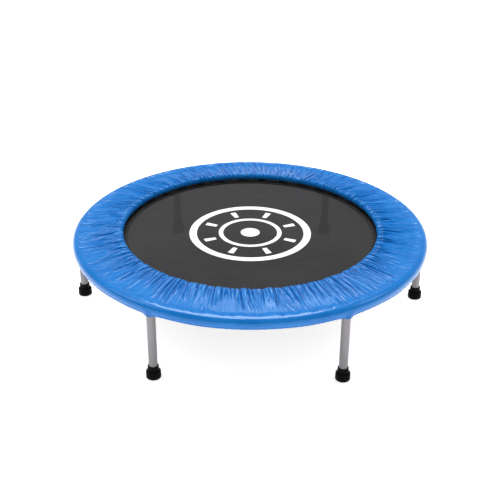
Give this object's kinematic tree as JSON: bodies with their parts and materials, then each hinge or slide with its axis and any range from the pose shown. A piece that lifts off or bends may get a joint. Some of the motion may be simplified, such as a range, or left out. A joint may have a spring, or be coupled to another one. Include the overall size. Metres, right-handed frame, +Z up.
{
  "type": "mini trampoline",
  "caption": "Round mini trampoline: sprung woven mat in a tube ring, padded cover gathered round the opening, and screw-in legs with rubber feet.",
  "frame": {"origin": "on the floor, under the middle of the mat", "axes": "+Z up along the object's axis of symmetry; +X points through leg 1; the picture looks along +Y"},
  "size_m": [0.9694, 0.96, 0.22],
  "materials": {
    "ring_paint": "satin",
    "leg_paint": "satin",
    "zinc_steel": "satin",
    "spring_steel": "satin",
    "ring_wire": "satin",
    "cover_pvc": "gloss",
    "pad_foam": "matte",
    "elastic_cord": "matte",
    "mat_fabric": "satin",
    "webbing": "matte",
    "print_ink": "matte",
    "thread": "satin",
    "foot_rubber": "matte"
  },
  "bodies": {
    "frame": {"frame_ring": "ring_paint", "springs": "spring_steel", "cover_top": "cover_pvc", "cover_skirt": "cover_pvc", "foam_pad": "pad_foam", "lip_elastic": "elastic_cord", "hem_elastic": "elastic_cord", "leg_boss_1": "zinc_steel", "leg_boss_2": "zinc_steel", "leg_boss_3": "zinc_steel", "leg_boss_4": "zinc_steel", "leg_boss_5": "zinc_steel", "leg_boss_6": "zinc_steel"},
    "mat": {"jump_mat": "mat_fabric", "mat_webbing": "webbing", "mat_rings": "ring_wire", "ring_loops": "webbing"},
    "leg_1_carrier": {"leg_plug_1": "zinc_steel"},
    "leg_1": {"leg_tube_1": "leg_paint", "leg_stud_1": "zinc_steel", "foot_1": "foot_rubber"},
    "leg_2_carrier": {"leg_plug_2": "zinc_steel"},
    "leg_2": {"leg_tube_2": "leg_paint", "leg_stud_2": "zinc_steel", "foot_2": "foot_rubber"},
    "leg_3_carrier": {"leg_plug_3": "zinc_steel"},
    "leg_3": {"leg_tube_3": "leg_paint", "leg_stud_3": "zinc_steel", "foot_3": "foot_rubber"},
    "leg_4_carrier": {"leg_plug_4": "zinc_steel"},
    "leg_4": {"leg_tube_4": "leg_paint", "leg_stud_4": "zinc_steel", "foot_4": "foot_rubber"},
    "leg_5_carrier": {"leg_plug_5": "zinc_steel"},
    "leg_5": {"leg_tube_5": "leg_paint", "leg_stud_5": "zinc_steel", "foot_5": "foot_rubber"},
    "leg_6_carrier": {"leg_plug_6": "zinc_steel"},
    "leg_6": {"leg_tube_6": "leg_paint", "leg_stud_6": "zinc_steel", "foot_6": "foot_rubber"}
  },
  "joints": [
    {"name": "mat_bounce", "type": "slide", "parent": "frame", "child": "mat", "axis": [0, 0, 1], "range_m": [-0.06, 0], "stiffness_N_per_m": 12000, "deforming": ["springs"]},
    {"name": "leg_1_travel", "type": "slide", "parent": "frame", "child": "leg_1_carrier", "axis": [0, 0, -1], "range_m": [0, 0.016]},
    {"name": "leg_1_unscrew", "type": "hinge", "parent": "leg_1_carrier", "child": "leg_1", "pos_m": [0.466, 0, 0.17], "axis": [0, 0, -1], "range_deg": [0, 4608]},
    {"name": "leg_2_travel", "type": "slide", "parent": "frame", "child": "leg_2_carrier", "axis": [0, 0, -1], "range_m": [0, 0.016]},
    {"name": "leg_2_unscrew", "type": "hinge", "parent": "leg_2_carrier", "child": "leg_2", "pos_m": [0.233, 0.40357, 0.17], "axis": [0, 0, -1], "range_deg": [0, 4608]},
    {"name": "leg_3_travel", "type": "slide", "parent": "frame", "child": "leg_3_carrier", "axis": [0, 0, -1], "range_m": [0, 0.016]},
    {"name": "leg_3_unscrew", "type": "hinge", "parent": "leg_3_carrier", "child": "leg_3", "pos_m": [-0.233, 0.40357, 0.17], "axis": [0, 0, -1], "range_deg": [0, 4608]},
    {"name": "leg_4_travel", "type": "slide", "parent": "frame", "child": "leg_4_carrier", "axis": [0, 0, -1], "range_m": [0, 0.016]},
    {"name": "leg_4_unscrew", "type": "hinge", "parent": "leg_4_carrier", "child": "leg_4", "pos_m": [-0.466, 0, 0.17], "axis": [0, 0, -1], "range_deg": [0, 4608]},
    {"name": "leg_5_travel", "type": "slide", "parent": "frame", "child": "leg_5_carrier", "axis": [0, 0, -1], "range_m": [0, 0.016]},
    {"name": "leg_5_unscrew", "type": "hinge", "parent": "leg_5_carrier", "child": "leg_5", "pos_m": [-0.233, -0.40357, 0.17], "axis": [0, 0, -1], "range_deg": [0, 4608]},
    {"name": "leg_6_travel", "type": "slide", "parent": "frame", "child": "leg_6_carrier", "axis": [0, 0, -1], "range_m": [0, 0.016]},
    {"name": "leg_6_unscrew", "type": "hinge", "parent": "leg_6_carrier", "child": "leg_6", "pos_m": [0.233, -0.40357, 0.17], "axis": [0, 0, -1], "range_deg": [0, 4608]}
  ],
  "couplings": [
    {"joint": "leg_1_unscrew", "follows": "leg_1_travel", "rad_per_m": 5026.5},
    {"joint": "leg_2_unscrew", "follows": "leg_2_travel", "rad_per_m": 5026.5},
    {"joint": "leg_3_unscrew", "follows": "leg_3_travel", "rad_per_m": 5026.5},
    {"joint": "leg_4_unscrew", "follows": "leg_4_travel", "rad_per_m": 5026.5},
    {"joint": "leg_5_unscrew", "follows": "leg_5_travel", "rad_per_m": 5026.5},
    {"joint": "leg_6_unscrew", "follows": "leg_6_travel", "rad_per_m": 5026.5}
  ]
}
